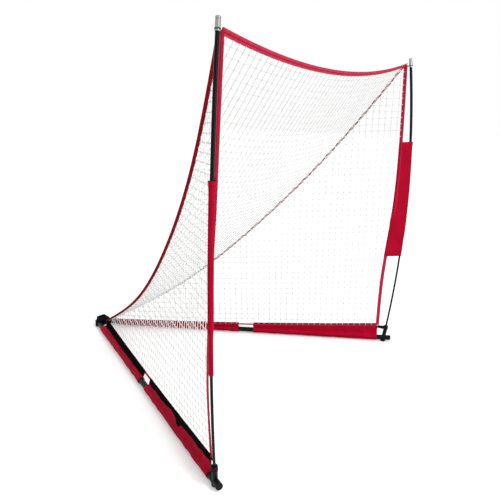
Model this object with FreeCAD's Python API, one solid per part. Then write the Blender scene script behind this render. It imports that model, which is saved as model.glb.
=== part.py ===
import FreeCAD
import Part
import math
import os

from FreeCAD import Placement, Rotation, Vector

# Driving dimensions, in millimetres and degrees
# Frame: +Z up, +X to the goal's right seen from the mouth, +Y back towards the apex
HALF_MOUTH = 915.0        # centre line to a post's foot, half of a six-foot mouth
SPREAD = 27.08            # angle of each leg to the centre line
POST_HEIGHT = 1810.0      # ground to the top of the tip cap
TIP_OUT = 16.0            # how far the tip stands outside the foot
TIP_FORWARD = 41.0        # how far the tip stands in front of the foot
LEAN_OUT = 0.172          # outward slope of the pole in its socket
LEAN_FORWARD = 0.097      # forward slope of the pole in its socket
BOW_FORWARD = 72.0        # how far the bowed pole and its sleeve stand in front of the foot

# Base tubes
TUBE_R = 16.0
TUBE_WALL = 1.5
TUBE_END_GAP = 0.4
REAR_LENGTH = 1038.0      # pivot to the joint line of the leg
BAR_OVERHANG = 41.0       # leg end past the socket's axis
SPIGOT_LENGTH = 75.0
SPIGOT_SLACK = 0.15
SPIGOT_BEVEL = 4.0
SWAGE_LENGTH = 8.0

# Apex bracket, its bolts and bushes
PIVOT_SPACING = 44.0
BRACKET_R = 24.0
PLATE = 3.0
BOLT_R = 5.0
BOLT_SLACK = 0.05
BOLT_HEAD_R = 10.0
BOLT_HEAD = 3.0
WASHER_R = 10.0
WASHER = 1.6
NUT_FLATS = 17.0
NUT_HEIGHT = 8.0
BOLT_PAST_NUT = 2.0
BUSH_WALL = 1.5
BUSH_PROUD = 1.2
PLATE_GAP = 0.25
WEB_START = 66.0          # the rear wall starts this far round from the open leg's line

# Pole sockets and feet
SOCKET_R = 12.7
SOCKET_WALL = 1.6
SOCKET_TOP = 100.0
SOCKET_BOTTOM = 7.0
INSERT_SLACK = 0.15
INSERT_DEPTH = 62.0
INSERT_FLANGE = 6.0
INSERT_FLANGE_R = 15.0
ROD_SLACK = 0.1
FOOT_WALL = 3.2
FOOT_HEIGHT = 13.0
CAP_FLANGE = 4.0
CAP_PLUG = 22.0

# Poles
ROD_R = 6.0
ROD_START = 12.0          # rod's lower end along the socket axis from the ground
STRAIGHT_END = 110.0      # the rod is straight up to here, then bows
UPPER_START = 0.375       # share of the bow where the upper tube starts
ROD_INSIDE = 0.045        # share of the bow that the rod goes into the upper tube
UPPER_R = 8.25
UPPER_WALL = 1.2
COUPLER_LIP = 4.0
COUPLER_LENGTH = 25.0
COUPLER_SLACK = 0.05
FERRULE_R = 10.0
FERRULE_LENGTH = 36.0
FERRULE_SLEEVE = 30.0
TIP_NECK_R = 8.0
TIP_NECK = 4.0
TIP_CAP = 9.5
TIP_BEVEL = 1.5

# Net's front edge: share of its own height, then outwards and backwards from the pole's axis
EDGE_LOW = 112.0
EDGE_BELOW_TIP = 40.0
FRONT_EDGE = (
    (0.000, -40.0, 48.0),
    (0.203, -64.0, 71.5),
    (0.474, -68.5, 53.6),
    (0.745, -65.6, 36.9),
    (1.000, -42.0, 16.0),
)
REAR_CORNER_BACK = 97.0   # net's rear corner in front of the pivots
REAR_CORNER_X = 19.0
REAR_CORNER_Z = 58.0
# Seam sag off the straight line between its corners: share along, inwards, forwards, down
SEAM_SAG = (
    (0.25, 45.0, 52.0, 135.0),
    (0.50, 51.0, 81.0, 156.0),
    (0.75, 31.0, 69.0, 99.0),
)
TOP_SAG = 90.0
HALVES_GAP = 0.4          # each back half stops this far from the centre plane

# Net, tapes and fabric
CORD = 9.0
MESH = 200.0
NET_THICKNESS = 2.4
NET_TOP_SHORT = 30.0      # side net ends this far below the top corner, under the tapes
NET_STOP = 2.0            # nets stop this far short of the seam's line, inside its tape
NET_MARGIN = 3.0          # plain cloth kept between a tape and the first gap
HEM_SAG = 12.0
TAPE = 4.0
FRONT_TAPE_WIDTH = 18.0
SEAM_TAPE_IN = 5.0
SEAM_TAPE_OUT = 13.0
TOP_TAPE_WIDTH = 28.0
HEM_WIDTH = 20.0
HEM_START = 0.012         # shares of the way from the front corner to the rear corner
HEM_END = 0.985
FABRIC = 1.8
SLEEVE_SLACK = 0.7
BAND_INTO_HEM = 3.0       # the base sleeve's band laps the hem by this much
STRIP = 2.2
STRIP_LOW = 27.5          # hook strip's edges, both below the hem's middle line
STRIP_HIGH = 0.5
STRIP_INSET = 3.0
SLEEVE_FROM_PIVOT = 122.0
STRIP_FROM_PIVOT = 106.0
SLEEVE_BEFORE_JOINT = 54.0
SLEEVE_PAST_JOINT = 48.0
SLEEVE_BEFORE_SOCKET = 45.0
POST_SLEEVE_LOW = {"left": 540.0, "right": 585.0}
POST_SLEEVE_HEIGHT = 735.0
POST_SLEEVE_SLACK = 3.25
POST_SLEEVE_SIDES = 12
POST_SLEEVE_PAST = 11.0   # the flap passes the net's front edge by this much
FLAP_PLY = 1.2
STRAP = 2.4
STRAP_WIDTH = 25.0
STRAP_GAP = 14.0          # strap's end to the net's rear corner
STRAP_SLACK = 0.4
STRAP_TURN_R = 3.0
STRAP_RISE = 0.1          # slope of the strap's edges towards the net
STRAP_SIDES = 24
LOOP_SLACK = 0.4
LOOP_WIDTH = 9.0
LOOP_BELOW_TIP = 41.0
LOOP_TO_CORNER = 12.0
FOOT_STRAP_WIDTH = 14.0
FOOT_STRAP_TOP = 97.0

# Worked out from the driving dimensions
PIVOT_X = PIVOT_SPACING / 2
BORE_R = TUBE_R - TUBE_WALL
TUBE_Z = BOLT_HEAD + PLATE + PLATE_GAP + BUSH_PROUD + TUBE_R
SOCKET_U = (HALF_MOUTH + LEAN_OUT * TUBE_Z - PIVOT_X) / math.sin(math.radians(SPREAD))
DEPTH = SOCKET_U * math.cos(math.radians(SPREAD))
PIVOT_Y = (DEPTH + BOW_FORWARD - BRACKET_R) / 2
REAR_SLEEVE = (SLEEVE_FROM_PIVOT, REAR_LENGTH - SLEEVE_BEFORE_JOINT)
FRONT_SLEEVE = (REAR_LENGTH + SLEEVE_PAST_JOINT, SOCKET_U - SLEEVE_BEFORE_SOCKET)
LEG_END = SOCKET_U + BAR_OVERHANG
PLATE_INNER = 2 * (TUBE_R + BUSH_PROUD + PLATE_GAP)
BRACKET_TOP = BOLT_HEAD + 2 * PLATE + PLATE_INNER
LEG_FRAME = Placement(Vector(PIVOT_X, PIVOT_Y, 0), Rotation(Vector(0, 0, 1), SPREAD - 90))
UP = Vector(0, 0, 1)
OUT = LEG_FRAME.Rotation.multVec(Vector(0, 1, 0))
ALONG = LEG_FRAME.Rotation.multVec(Vector(1, 0, 0))


# A point in the right leg's own frame: along the leg, outwards from it, and up
def leg_point(along, outward, up):
    return LEG_FRAME.multVec(Vector(along, outward, up))


# A solid made in the leg's own frame, moved to its place on the right
def on_leg(shape):
    placed = shape.copy()
    placed.Placement = LEG_FRAME.multiply(placed.Placement)
    return placed


def cylinder(radius, start, axis, length):
    return Part.makeCylinder(radius, length, start, axis)


# A ring of material between two radii
def ring(outer, inner, start, axis, length):
    overrun = Vector(axis).normalize() * 1.0
    bore = cylinder(inner, start - overrun, axis, length + 2.0)
    return cylinder(outer, start, axis, length).cut(bore)


def revolve_profile(points, origin, axis):
    """Turn a profile of (radius, height) points about an axis through origin."""
    flat = [Vector(r, 0, h) for r, h in points]
    face = Part.Face(Part.makePolygon(flat + flat[:1]))
    solid = face.revolve(Vector(0, 0, 0), UP, 360)
    solid.Placement = Placement(origin, Rotation(UP, Vector(axis)))
    return solid


def curve(points):
    line = Part.BSplineCurve()
    line.interpolate(points)
    return line


# Where the pole's axis crosses the leg's axis, and the pole's straight start
FOOT_CROSSING = leg_point(SOCKET_U, 0, TUBE_Z)
POLE_START = Vector(LEAN_OUT, -LEAN_FORWARD, 1).normalize()
FOOT = FOOT_CROSSING - POLE_START * (TUBE_Z / POLE_START.z)
BOW_START = FOOT + POLE_START * STRAIGHT_END
TIP = FOOT + Vector(TIP_OUT, -TIP_FORWARD, POST_HEIGHT)


class Bow:
    """The pole's axis above its socket: an arc from the end of the straight part to the tip."""

    chord = TIP - BOW_START
    half_turn = POLE_START.getAngle(chord)
    radius = chord.Length / 2 / math.sin(half_turn)
    inward = (chord - POLE_START * chord.dot(POLE_START)).normalize()
    centre = BOW_START + inward * radius
    axis = POLE_START.cross(inward)
    length = 2 * half_turn * radius

    @classmethod
    def point(cls, share):
        turn = 2 * cls.half_turn * share
        spoke = POLE_START * math.sin(turn) - cls.inward * math.cos(turn)
        return cls.centre + spoke * cls.radius

    @classmethod
    def direction(cls, share):
        turn = 2 * cls.half_turn * share
        return POLE_START * math.cos(turn) + cls.inward * math.sin(turn)

    @classmethod
    def share_at(cls, height):
        low, high = 0.0, 1.0
        for _ in range(40):
            middle = (low + high) / 2
            if cls.point(middle).z < height:
                low = middle
            else:
                high = middle
        return low


# A round bar along a stretch of the bow
def bowed_bar(radius, start, end):
    disc = Part.Face(Part.Wire([Part.Circle(Bow.point(start), Bow.direction(start), radius).toShape()]))
    return disc.revolve(Bow.centre, Bow.axis, math.degrees(2 * Bow.half_turn * (end - start)))


def bowed_tube(outer, inner, start, end):
    overrun = 1.0 / Bow.length
    return bowed_bar(outer, start, end).cut(bowed_bar(inner, start - overrun, end + overrun))


# Apex bracket: top and bottom plates with round ends, and a wall round the back
def stadium(radius, low, height):
    left = Part.makeCylinder(radius, height, Vector(-PIVOT_X, PIVOT_Y, low))
    right = Part.makeCylinder(radius, height, Vector(PIVOT_X, PIVOT_Y, low))
    middle = Part.makeBox(PIVOT_SPACING, 2 * radius, height, Vector(-PIVOT_X, PIVOT_Y - radius, low))
    return left.fuse([right, middle]).removeSplitter()


def apex_bracket():
    height = BRACKET_TOP - BOLT_HEAD
    block = stadium(BRACKET_R, BOLT_HEAD, height)
    inside = stadium(BRACKET_R - PLATE, BOLT_HEAD + PLATE, height - 2 * PLATE)
    front = []
    for side in (-1, 1):
        start = math.radians(WEB_START - 90 + SPREAD)
        reach = 3 * BRACKET_R
        pivot = Vector(side * PIVOT_X, PIVOT_Y, BOLT_HEAD + PLATE)
        edge = pivot + Vector(side * math.cos(start), math.sin(start), 0) * reach
        ahead = Vector(0, PIVOT_Y - reach, pivot.z)
        corners = [pivot, edge, Vector(edge.x, ahead.y, pivot.z), ahead, Vector(0, PIVOT_Y, pivot.z)]
        opening = Part.Face(Part.makePolygon(corners + corners[:1]))
        front.append(opening.extrude(UP * (height - 2 * PLATE)))
    bracket = block.cut([inside] + front)
    holes = [
        cylinder(BOLT_R + BOLT_SLACK, Vector(side * PIVOT_X, PIVOT_Y, 0), UP, BRACKET_TOP + 1)
        for side in (-1, 1)
    ]
    return bracket.cut(holes)


# Bolts with low flat heads that stand on the ground
def pivot_bolt():
    top = BRACKET_TOP + WASHER + NUT_HEIGHT + BOLT_PAST_NUT
    foot = Vector(PIVOT_X, PIVOT_Y, 0)
    head = Part.makeCylinder(BOLT_HEAD_R, BOLT_HEAD, foot)
    return head.fuse(Part.makeCylinder(BOLT_R, top, foot)).removeSplitter()


def hexagon(flats, height, base):
    corner = flats / math.sqrt(3)
    points = []
    for k in range(7):
        turn = math.radians(60 * k)
        points.append(base + Vector(corner * math.cos(turn), corner * math.sin(turn), 0))
    return Part.Face(Part.makePolygon(points)).extrude(UP * height)


# Flanged nut: a washer face and a hexagon in one piece
def pivot_nut():
    base = Vector(PIVOT_X, PIVOT_Y, BRACKET_TOP)
    nut = hexagon(NUT_FLATS, NUT_HEIGHT, base + UP * WASHER)
    flange = cylinder(WASHER_R, base, UP, WASHER)
    return flange.fuse(nut).cut(cylinder(BOLT_R, base - UP, UP, 2 * NUT_HEIGHT))


def belt(extra, low, high):
    """A block round both nuts and a narrow turn at the net's corner; its edges climb to the corner."""
    corner = Vector(0, PIVOT_Y - REAR_CORNER_BACK + STRAP_GAP, 0)
    loop = WASHER_R + STRAP_SLACK
    posts = [(Vector(side * PIVOT_X, PIVOT_Y, 0), loop) for side in (-1, 1)] + [(corner, STRAP_TURN_R)]
    back = PIVOT_Y + loop + STRAP
    rings = []
    for height in (low, high):
        points = []
        for k in range(STRAP_SIDES):
            turn = 2 * math.pi * (k + 0.5) / STRAP_SIDES
            ray = Vector(math.cos(turn), math.sin(turn), 0)
            centre, radius = max(posts, key=lambda post: post[0].dot(ray) + post[1])
            point = centre + ray * (radius + extra)
            points.append(point + UP * (height + STRAP_RISE * (back - point.y)))
        rings.append(points)
    return faceted(rings)


# Webbing loop, on edge, round both nuts and forward to the net's rear corner
def apex_strap():
    top = BRACKET_TOP + STRAP_WIDTH
    return belt(STRAP, BRACKET_TOP, top).cut(belt(0, BRACKET_TOP - 1, top + 1))


# Leg tubes, made along the leg's own axis
def rear_tube():
    axis = Vector(1, 0, 0)
    start = Vector(-TUBE_R, 0, TUBE_Z)
    length = REAR_LENGTH + TUBE_R
    tube = cylinder(TUBE_R, start, axis, length)
    bore = cylinder(BORE_R, start, axis, length + 1)
    rounding = Part.makeCylinder(TUBE_R, 3 * TUBE_R, Vector(0, 0, TUBE_Z - 1.5 * TUBE_R))
    corner = Vector(0, -2 * TUBE_R, TUBE_Z - 2 * TUBE_R)
    ahead = Part.makeBox(length, 4 * TUBE_R, 4 * TUBE_R, corner)
    tube = tube.cut(bore).common(rounding.fuse(ahead))
    hole = cylinder(BOLT_R + BUSH_WALL, Vector(0, 0, 0), UP, 4 * TUBE_R)
    return on_leg(tube.cut(hole))


def front_tube():
    start = REAR_LENGTH + TUBE_END_GAP
    spigot = BORE_R - SPIGOT_SLACK
    profile = [
        (spigot - TUBE_WALL, start - SPIGOT_LENGTH),
        (spigot - 1.0, start - SPIGOT_LENGTH),
        (spigot, start - SPIGOT_LENGTH + SPIGOT_BEVEL),
        (spigot, start - TUBE_END_GAP),
        (TUBE_R, start),
        (TUBE_R, LEG_END),
        (BORE_R, LEG_END),
        (BORE_R, start + SWAGE_LENGTH),
        (spigot - TUBE_WALL, start),
    ]
    tube = revolve_profile(profile, Vector(0, 0, TUBE_Z), Vector(1, 0, 0))
    tube = on_leg(tube)
    return tube.cut(socket_core(SOCKET_R))


# Steel sleeve welded through the leg, a little longer than the tube is wide
def pivot_bush():
    low = BOLT_HEAD + PLATE + PLATE_GAP
    length = PLATE_INNER - 2 * PLATE_GAP
    return ring(BOLT_R + BUSH_WALL, BOLT_R + BOLT_SLACK, Vector(PIVOT_X, PIVOT_Y, low), UP, length)


def leg_end_cap():
    profile = [
        (0, 0),
        (TUBE_R - 2.0, 0),
        (TUBE_R, -2.0),
        (TUBE_R, -CAP_FLANGE),
        (BORE_R, -CAP_FLANGE),
        (BORE_R, -CAP_FLANGE - CAP_PLUG),
        (0, -CAP_FLANGE - CAP_PLUG),
    ]
    return on_leg(revolve_profile(profile, Vector(LEG_END + CAP_FLANGE, 0, TUBE_Z), Vector(1, 0, 0)))


# The socket's straight axis, from the ground up
def socket_point(height):
    return FOOT + POLE_START * (height / POLE_START.z)


def socket_core(radius):
    return cylinder(radius, socket_point(0), POLE_START, SOCKET_TOP / POLE_START.z)


def pole_socket():
    length = (SOCKET_TOP - SOCKET_BOTTOM) / POLE_START.z
    return ring(SOCKET_R, SOCKET_R - SOCKET_WALL, socket_point(SOCKET_BOTTOM), POLE_START, length)


def socket_bush():
    top = SOCKET_TOP
    outer = SOCKET_R - SOCKET_WALL - INSERT_SLACK
    profile = [
        (ROD_R + ROD_SLACK, -INSERT_DEPTH),
        (outer, -INSERT_DEPTH),
        (outer, 0),
        (INSERT_FLANGE_R, 0),
        (INSERT_FLANGE_R, INSERT_FLANGE - 2.0),
        (INSERT_FLANGE_R - 2.0, INSERT_FLANGE),
        (ROD_R + ROD_SLACK, INSERT_FLANGE),
    ]
    return revolve_profile(profile, socket_point(top), POLE_START)


# Rubber foot: a cup round the socket's lower end, cut level where it stands
def rubber_foot():
    outer = SOCKET_R + FOOT_WALL
    body = cylinder(outer, socket_point(-outer), POLE_START, FOOT_HEIGHT + outer)
    cup = cylinder(SOCKET_R, socket_point(SOCKET_BOTTOM), POLE_START, FOOT_HEIGHT * 2)
    below = Part.makeBox(8 * outer, 8 * outer, 4 * outer, FOOT - Vector(4 * outer, 4 * outer, 4 * outer))
    leg = cylinder(TUBE_R, leg_point(REAR_LENGTH + SPIGOT_LENGTH, 0, TUBE_Z), ALONG, LEG_END)
    return body.cut([cup, below, leg])


# Poles
def lower_rod():
    start = FOOT + POLE_START * ROD_START
    straight = cylinder(ROD_R, start, POLE_START, STRAIGHT_END - ROD_START)
    return straight.fuse(bowed_bar(ROD_R, 0, UPPER_START + ROD_INSIDE))


def upper_tube():
    end = 1 - (TIP_CAP + TIP_NECK + FERRULE_LENGTH - FERRULE_SLEEVE) / Bow.length
    return bowed_tube(UPPER_R, UPPER_R - UPPER_WALL, UPPER_START, end)


# Plastic reducer pushed into the upper tube's lower end; the rod slides in its bore
def pole_coupler():
    bore = ROD_R + ROD_SLACK
    profile = [
        (bore, -COUPLER_LIP),
        (UPPER_R + 1.0, -COUPLER_LIP),
        (UPPER_R + 1.0, 0),
        (UPPER_R - UPPER_WALL - COUPLER_SLACK, 0),
        (UPPER_R - UPPER_WALL - COUPLER_SLACK, COUPLER_LENGTH),
        (bore, COUPLER_LENGTH),
    ]
    return revolve_profile(profile, Bow.point(UPPER_START), Bow.direction(UPPER_START))


def tip_frame():
    return TIP, Bow.direction(1)


def tip_ferrule():
    origin, axis = tip_frame()
    top = -TIP_CAP - TIP_NECK
    bore = UPPER_R + ROD_SLACK
    profile = [
        (bore, top - FERRULE_LENGTH),
        (FERRULE_R, top - FERRULE_LENGTH),
        (FERRULE_R, top),
        (0, top),
        (0, top - FERRULE_LENGTH + FERRULE_SLEEVE),
        (bore, top - FERRULE_LENGTH + FERRULE_SLEEVE),
    ]
    return revolve_profile(profile, origin, axis)


def tip_cap():
    origin, axis = tip_frame()
    profile = [
        (0, 0),
        (FERRULE_R - TIP_BEVEL, 0),
        (FERRULE_R, -TIP_BEVEL),
        (FERRULE_R, -TIP_CAP),
        (TIP_NECK_R, -TIP_CAP),
        (TIP_NECK_R, -TIP_CAP - TIP_NECK),
        (0, -TIP_CAP - TIP_NECK),
    ]
    return revolve_profile(profile, origin, axis)


def pole_at(height):
    return socket_point(height) if height < BOW_START.z else Bow.point(Bow.share_at(height))


# Net edges, right side
def front_edge_point(share, outward, backward):
    height = EDGE_LOW + (POST_HEIGHT - EDGE_BELOW_TIP - EDGE_LOW) * share
    return pole_at(height) + Vector(outward, backward, 0)


FRONT_POINTS = [front_edge_point(*row) for row in FRONT_EDGE]
TOP_CORNER = FRONT_POINTS[-1]
REAR_CORNER = Vector(REAR_CORNER_X, PIVOT_Y - REAR_CORNER_BACK, REAR_CORNER_Z)


def seam_points():
    points = [REAR_CORNER]
    for share, inward, forward, down in SEAM_SAG:
        straight = REAR_CORNER + (TOP_CORNER - REAR_CORNER) * share
        points.append(straight - Vector(inward, forward, down))
    return points + [TOP_CORNER]


FRONT_CURVE = curve(FRONT_POINTS)
SEAM_CURVE = curve(seam_points())


def at_share(line, share):
    """Point of a rising curve at a share of its own height."""
    low, high = line.FirstParameter, line.LastParameter
    bottom, top = line.value(low).z, line.value(high).z
    height = bottom + (top - bottom) * share
    for _ in range(40):
        middle = (low + high) / 2
        if line.value(middle).z < height:
            low = middle
        else:
            high = middle
    return line.value(low)


def leg_coordinates(point):
    return LEG_FRAME.inverse().multVec(point)


def hem_point(across):
    """The net's lower edge, from the front corner (0) to the rear corner (1), with a slight sag."""
    straight = FRONT_POINTS[0] * (1 - across) + REAR_CORNER * across
    return straight - UP * (4 * HEM_SAG * across * (1 - across))


def side_point(up, across):
    """Side panel: P = (1 - t) F(s) + t S(s) + (1 - s)^4 (H(t) - (1 - t) F(0) - t S(0)).

    F is the front edge, S the seam and H the hem; s is the share of the height and t goes from F to S.
    """
    row = at_share(FRONT_CURVE, up) * (1 - across) + at_share(SEAM_CURVE, up) * across
    bottom = FRONT_POINTS[0] * (1 - across) + REAR_CORNER * across
    return row + (hem_point(across) - bottom) * (1 - up) ** 4


def back_point(up, across):
    """Right half of the back: rows hang as parabolas whose sag grows with the width squared."""
    seam = at_share(SEAM_CURVE, up)
    sag = TOP_SAG * (seam.x / TOP_CORNER.x) ** 2 * (1 - across ** 2)
    return Vector(seam.x * across, seam.y, seam.z - sag)


def steps(start, end, count):
    return [start + (end - start) * k / (count - 1) for k in range(count)]


def point_grid(point, ups, acrosses):
    return [[point(up, across) for across in acrosses] for up in ups]


def folded_sheet(grid, direction, thickness):
    """A solid of flat triangles through a grid of points, as thick as the cords."""
    half = direction * (thickness / 2)
    faces = []

    def add(*corners):
        faces.append(Part.Face(Part.makePolygon(list(corners) + [corners[0]])))

    last_row, last_column = len(grid) - 1, len(grid[0]) - 1
    for i in range(last_row):
        for j in range(last_column):
            a, b, c, d = grid[i][j], grid[i][j + 1], grid[i + 1][j + 1], grid[i + 1][j]
            for shift in (half, half * -1):
                add(a + shift, b + shift, c + shift)
                add(a + shift, c + shift, d + shift)
    rim = [(grid[0][j], grid[0][j + 1]) for j in range(last_column)]
    rim += [(grid[-1][j], grid[-1][j + 1]) for j in range(last_column)]
    rim += [(grid[i][0], grid[i + 1][0]) for i in range(last_row)]
    rim += [(grid[i][-1], grid[i + 1][-1]) for i in range(last_row)]
    for start, end in rim:
        add(start - half, end - half, end + half, start + half)
    solid = Part.Solid(Part.makeShell(faces))
    return solid if solid.Volume > 0 else solid.reversed()


def windows(point, frame, rows, columns, outline):
    """The net's gaps, as prisms along the frame's Z, kept inside the outline."""
    flat = frame.inverse()
    prisms = []
    half = CORD / 2
    for low, high in zip(rows, rows[1:]):
        edges = []
        for up in (low, high):
            edges.append([flat.multVec(point(up, across)) for across in (0.0, 1.0)])
        for left, right in zip(columns, columns[1:]):
            corners = []
            for (start, end), shift in zip(edges, (half, -half)):
                slope = (end.y - start.y) / (end.x - start.x)
                for x in (left + half, right - half)[::1 if shift > 0 else -1]:
                    corners.append(Vector(x, start.y + slope * (x - start.x) + shift, 0))
            prisms.append(Part.Face(Part.makePolygon(corners + corners[:1])))
    room = Part.Face(Part.makePolygon(outline + outline[:1]))
    kept = []
    for cell in prisms:
        for face in cell.common(room).Faces:
            if face.Area > 0.06 * MESH * MESH:
                solid = face.extrude(Vector(0, 0, 4 * MESH))
                solid.translate(Vector(0, 0, -2 * MESH))
                solid.Placement = frame.multiply(solid.Placement)
                kept.append(solid)
    return kept


# Frames of the two panels: X across, Y up the panel, Z along its normal
SIDE_FRAME = Placement(leg_point(0, 0, 0), Rotation(ALONG, UP, ALONG.cross(UP), "XYZ"))
SLOPE = Vector(0, TOP_CORNER.y - REAR_CORNER.y, TOP_CORNER.z - REAR_CORNER.z).normalize()
BACK_FRAME = Placement(REAR_CORNER, Rotation(Vector(1, 0, 0), SLOPE, Vector(1, 0, 0).cross(SLOPE), "XYZ"))
BACK_OUT = SLOPE.cross(Vector(1, 0, 0)).normalize() * -1
SEAM_OUT = (OUT + BACK_OUT).normalize()
SEAM_FACE = (OUT - BACK_OUT).normalize()


def panel_outline(point, frame, ups, low, high, margin):
    """Outline of a panel in its own plane, drawn in by a margin."""
    flat = frame.inverse()
    corners = [flat.multVec(point(up, high)) for up in ups]
    corners += [flat.multVec(point(up, low)) for up in reversed(ups)]
    corners = [Vector(corner.x, corner.y, 0) for corner in corners]
    inner = Part.Face(Part.makePolygon(corners + corners[:1])).makeOffset2D(-margin, 2)
    return [vertex.Point for vertex in inner.OuterWire.OrderedVertexes]


def side_net():
    top = 1 - NET_TOP_SHORT / TOP_CORNER.z
    length = (at_share(SEAM_CURVE, 0.5) - at_share(FRONT_CURVE, 0.5)).Length
    grid = point_grid(side_point, steps(0, top, 8), steps(0, 1 - NET_STOP / length, 3))
    rows = steps(0, 1, round(TOP_CORNER.z / MESH) + 1)
    front = leg_coordinates(FRONT_POINTS[0]).x + MESH / 2
    columns = [front - MESH * k for k in range(int(SOCKET_U / MESH) + 2)][::-1]
    margin = FRONT_TAPE_WIDTH / 2 + NET_MARGIN
    outline = panel_outline(side_point, SIDE_FRAME, steps(0, 0.96, 13), 0, 1, margin)
    gaps = windows(side_point, SIDE_FRAME, rows, columns, outline)
    return folded_sheet(grid, OUT, NET_THICKNESS).cut(gaps)


def back_net():
    low = HALVES_GAP / TOP_CORNER.x
    grid = point_grid(back_point, steps(0.03, 1, 8), steps(0, 1 - NET_STOP / TOP_CORNER.x, 4))
    length = (TOP_CORNER - REAR_CORNER).dot(SLOPE)
    rows = steps(0, 1, round(length / MESH) + 1)
    columns = [MESH * k - REAR_CORNER_X for k in range(int(HALF_MOUTH / MESH) + 2)]
    margin = SEAM_TAPE_IN + NET_STOP + NET_MARGIN
    outline = panel_outline(back_point, BACK_FRAME, steps(0.03, 1, 13), low, 1, margin)
    gaps = windows(back_point, BACK_FRAME, rows, columns, outline)
    return right_of_centre(folded_sheet(grid, BACK_OUT, NET_THICKNESS)).cut(gaps)


# Cuts off what reaches the centre plane
def right_of_centre(shape):
    corner = Vector(HALVES_GAP, -2 * DEPTH, -HALF_MOUTH)
    room = Part.makeBox(2 * HALF_MOUTH, 4 * DEPTH, 2 * POST_HEIGHT, corner)
    return shape.common(room)


def tape(line, across, low, high, face, thickness, stations):
    """A flat tape: it follows a line, reaches from low to high along across, and is thick along face."""
    grid = [[line(k) + across(k) * offset for offset in (low, (low + high) / 2, high)] for k in stations]
    return folded_sheet(grid, face, thickness)


def front_line(up):
    return at_share(FRONT_CURVE, up)


def seam_line(up):
    return at_share(SEAM_CURVE, up)


def rearward(up):
    return (seam_line(up) - front_line(up)).normalize()


def front_tape():
    half = FRONT_TAPE_WIDTH / 2
    return tape(front_line, rearward, -half, half, OUT, TAPE, steps(0, 0.982, 9))


def seam_tape():
    stations = steps(0, 0.985, 9)
    return tape(seam_line, lambda up: SEAM_OUT, -SEAM_TAPE_IN, SEAM_TAPE_OUT, SEAM_FACE, TAPE, stations)


def top_tape():
    half = TOP_TAPE_WIDTH / 2
    stations = steps(0, 0.985, 5)
    top = tape(lambda r: back_point(1, r), lambda r: SLOPE, -half, half, BACK_OUT, TAPE, stations)
    return right_of_centre(top)


# The base sleeve's band runs from the tube's axis towards the hem
def band_direction(across):
    along = leg_coordinates(hem_point(across)).x
    return (hem_point(across) - leg_point(along, 0, TUBE_Z)).normalize()


def band_face(across):
    return band_direction(across).cross(ALONG)


def share_along(along):
    front = leg_coordinates(FRONT_POINTS[0]).x
    rear = leg_coordinates(REAR_CORNER).x
    return (front - along) / (front - rear)


def slab(stations, low, high, inner, outer):
    """A slab along the band; low and high give its edges from the tube's axis."""
    sections = []
    for across in stations:
        origin = leg_point(leg_coordinates(hem_point(across)).x, 0, TUBE_Z)
        reach = (hem_point(across) - origin).Length
        up, face = band_direction(across), band_face(across)
        corners = [origin + up * (end(reach)) + face * side
                   for end, side in ((low, inner), (high, inner), (high, outer), (low, outer))]
        sections.append(Part.makePolygon(corners + corners[:1]))
    return Part.makeLoft(sections, True, True)


# Stations of a sleeve along the hem, shared by the sleeve, its strip and the hem
def sleeve_stations(start, end):
    return steps(share_along(end), share_along(start), 4)


def bottom_hem():
    half = HEM_WIDTH / 2
    inner = sleeve_stations(*FRONT_SLEEVE) + sleeve_stations(*REAR_SLEEVE)
    stations = [HEM_START] + [share for share in inner if HEM_START < share < HEM_END] + [HEM_END]
    return slab(stations, lambda reach: reach - half, lambda reach: reach + half, -TAPE / 2, TAPE / 2)


def base_sleeve(start, end):
    outer = TUBE_R + SLEEVE_SLACK + FABRIC
    origin = leg_point(start, 0, TUBE_Z)
    bore = cylinder(TUBE_R + SLEEVE_SLACK, origin - ALONG, ALONG, end - start + 2)
    loop = cylinder(outer, origin, ALONG, end - start)
    stations = sleeve_stations(start, end)
    top = BAND_INTO_HEM - HEM_WIDTH / 2
    band = slab(stations, lambda reach: TUBE_R, lambda reach: reach + top, -TAPE / 2, TAPE / 2)
    return loop.fuse(band).cut(bore)


def rear_sleeve():
    return base_sleeve(*REAR_SLEEVE)


def front_sleeve():
    return base_sleeve(*FRONT_SLEEVE)


def hook_strip(sleeve, start):
    """Strip on the band's outer face, from a distance along the leg to just inside the sleeve's front end."""
    first, last = share_along(sleeve[1] - STRIP_INSET), share_along(start)
    stations = [first] + [share for share in sleeve_stations(*sleeve) if first < share < last] + [last]
    inner = TAPE / 2
    outer = inner + STRIP
    return slab(stations, lambda reach: reach - STRIP_LOW, lambda reach: reach - STRIP_HIGH, inner, outer)


def rear_strip():
    return hook_strip(REAR_SLEEVE, STRIP_FROM_PIVOT)


def front_strip():
    return hook_strip(FRONT_SLEEVE, FRONT_SLEEVE[0] + STRIP_INSET)


def faceted(sections):
    """A solid of flat triangles through rings of points, closed by a flat face at each end."""
    faces = [Part.Face(Part.makePolygon(ring + ring[:1])) for ring in (sections[0], sections[-1])]
    for below, above in zip(sections, sections[1:]):
        for k in range(len(below)):
            a, b, c, d = below[k - 1], below[k], above[k], above[k - 1]
            faces.append(Part.Face(Part.makePolygon([a, b, c, a])))
            faces.append(Part.Face(Part.makePolygon([a, c, d, a])))
    solid = Part.Solid(Part.makeShell(faces))
    return solid if solid.Volume > 0 else solid.reversed()


def sleeve_ring(pole, towards, radius, start, end):
    """Points round the pole from one angle to the other, measured from the net's side."""
    sideways = UP.cross(towards)
    turns = steps(start, end, POST_SLEEVE_SIDES)
    return [pole + towards * (radius * math.cos(t)) + sideways * (radius * math.sin(t)) for t in turns]


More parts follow.
